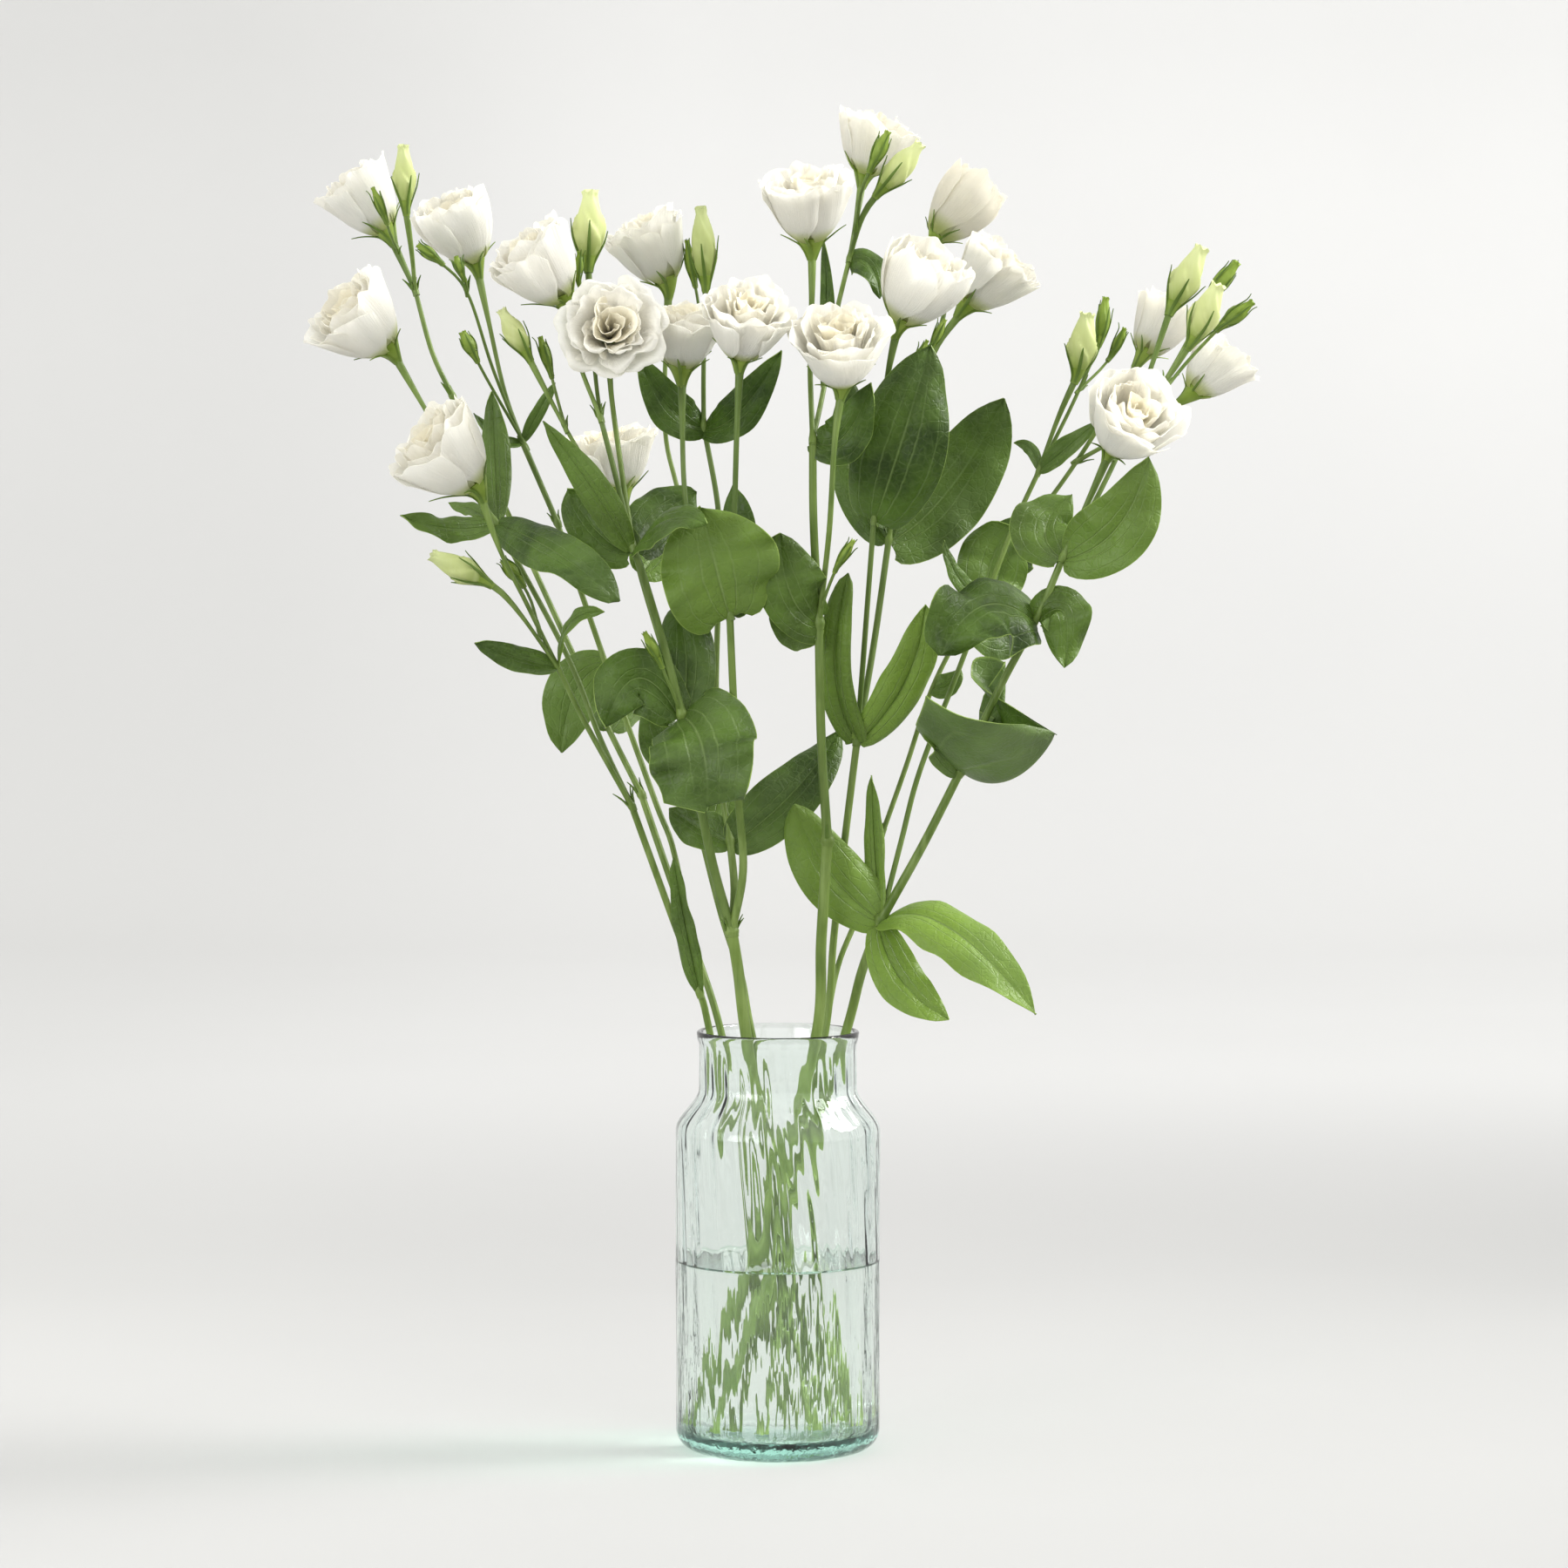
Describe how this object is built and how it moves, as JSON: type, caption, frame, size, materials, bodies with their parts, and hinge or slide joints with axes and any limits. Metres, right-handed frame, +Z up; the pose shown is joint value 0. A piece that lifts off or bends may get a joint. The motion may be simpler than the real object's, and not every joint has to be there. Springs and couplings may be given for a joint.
{
  "type": "vase of lisianthus",
  "caption": "Round-shouldered pale teal glass vase holding water and branching leafy stems with open white ruffled blooms and furled buds.",
  "frame": {"origin": "centre of the vase's flat base, on the table", "axes": "+Z up along the vase's axis, the pictured side faces -Y, +X to the right as seen from there"},
  "size_m": [0.5094, 0.2278, 0.707],
  "materials": {
    "glass": "clear, rippled, pale teal",
    "water": "clear",
    "green": "matt leaf green",
    "petal": "soft translucent white",
    "bud": "soft pale yellow-green"
  },
  "bodies": {
    "root": {"vase": "glass", "water": "water", "stem_left_front": "green", "stem_left_back": "green", "stem_middle_left": "green", "stem_back": "green", "stem_middle": "green", "stem_middle_right": "green", "stem_right": "green", "stem_right_back": "green", "bloom_01": "petal", "bloom_02": "petal", "bloom_03": "petal", "bloom_04": "petal", "bloom_05": "petal", "bloom_06": "petal", "bloom_07": "petal", "bloom_08": "petal", "bloom_09": "petal", "bloom_10": "petal", "bloom_11": "petal", "bloom_12": "petal", "bloom_13": "petal", "bloom_14": "petal", "bloom_15": "petal", "bloom_16": "petal", "bloom_17": "petal", "bloom_18": "petal", "bloom_19": "petal", "bud_01": "bud", "bud_02": "bud", "bud_03": "bud", "bud_04": "bud", "bud_05": "bud", "bud_06": "bud", "bud_07": "bud", "bud_08": "bud", "bud_09": "bud"}
  },
  "joints": []
}
